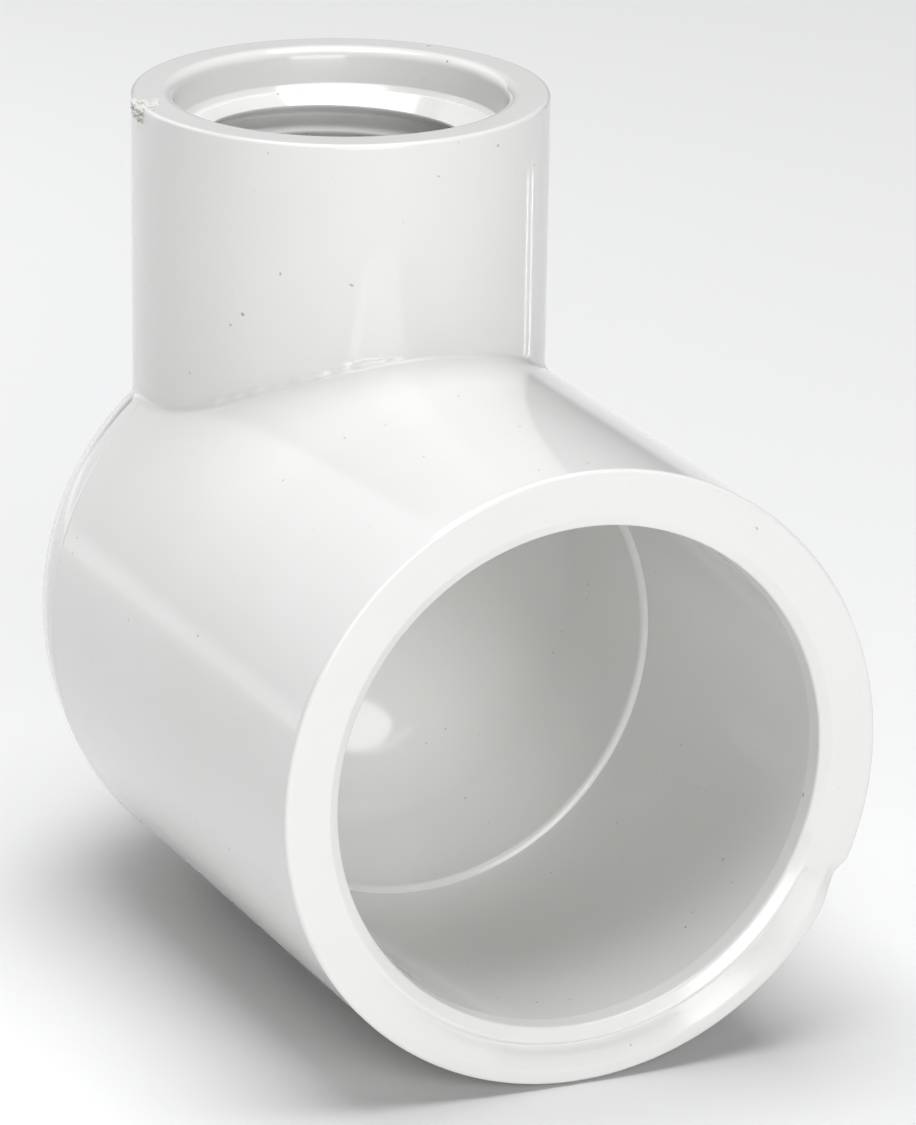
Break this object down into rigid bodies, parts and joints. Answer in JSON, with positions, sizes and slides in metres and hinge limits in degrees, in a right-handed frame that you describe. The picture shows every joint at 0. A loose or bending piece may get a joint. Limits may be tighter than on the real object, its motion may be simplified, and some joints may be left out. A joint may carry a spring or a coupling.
{
  "type": "reducing pipe elbow",
  "caption": "Right-angle moulded plastic pipe elbow: a wide slip socket turns over a round heel into a narrower branch with an internal pipe thread.",
  "frame": {"origin": "centre of the pipe stop, on the run socket's axis, where a pipe's end seats", "axes": "-Y along the run socket's axis, out of its mouth; +Z along the branch's axis, out of its rim"},
  "size_m": [0.0414, 0.0599, 0.0564],
  "materials": {
    "moulding": "white rigid PVC, moulded, semi-gloss"
  },
  "bodies": {
    "root": {"run_hub": "moulding", "elbow_body": "moulding", "branch_hub": "moulding", "branch_thread": "moulding", "gate_stub": "moulding"}
  },
  "joints": []
}
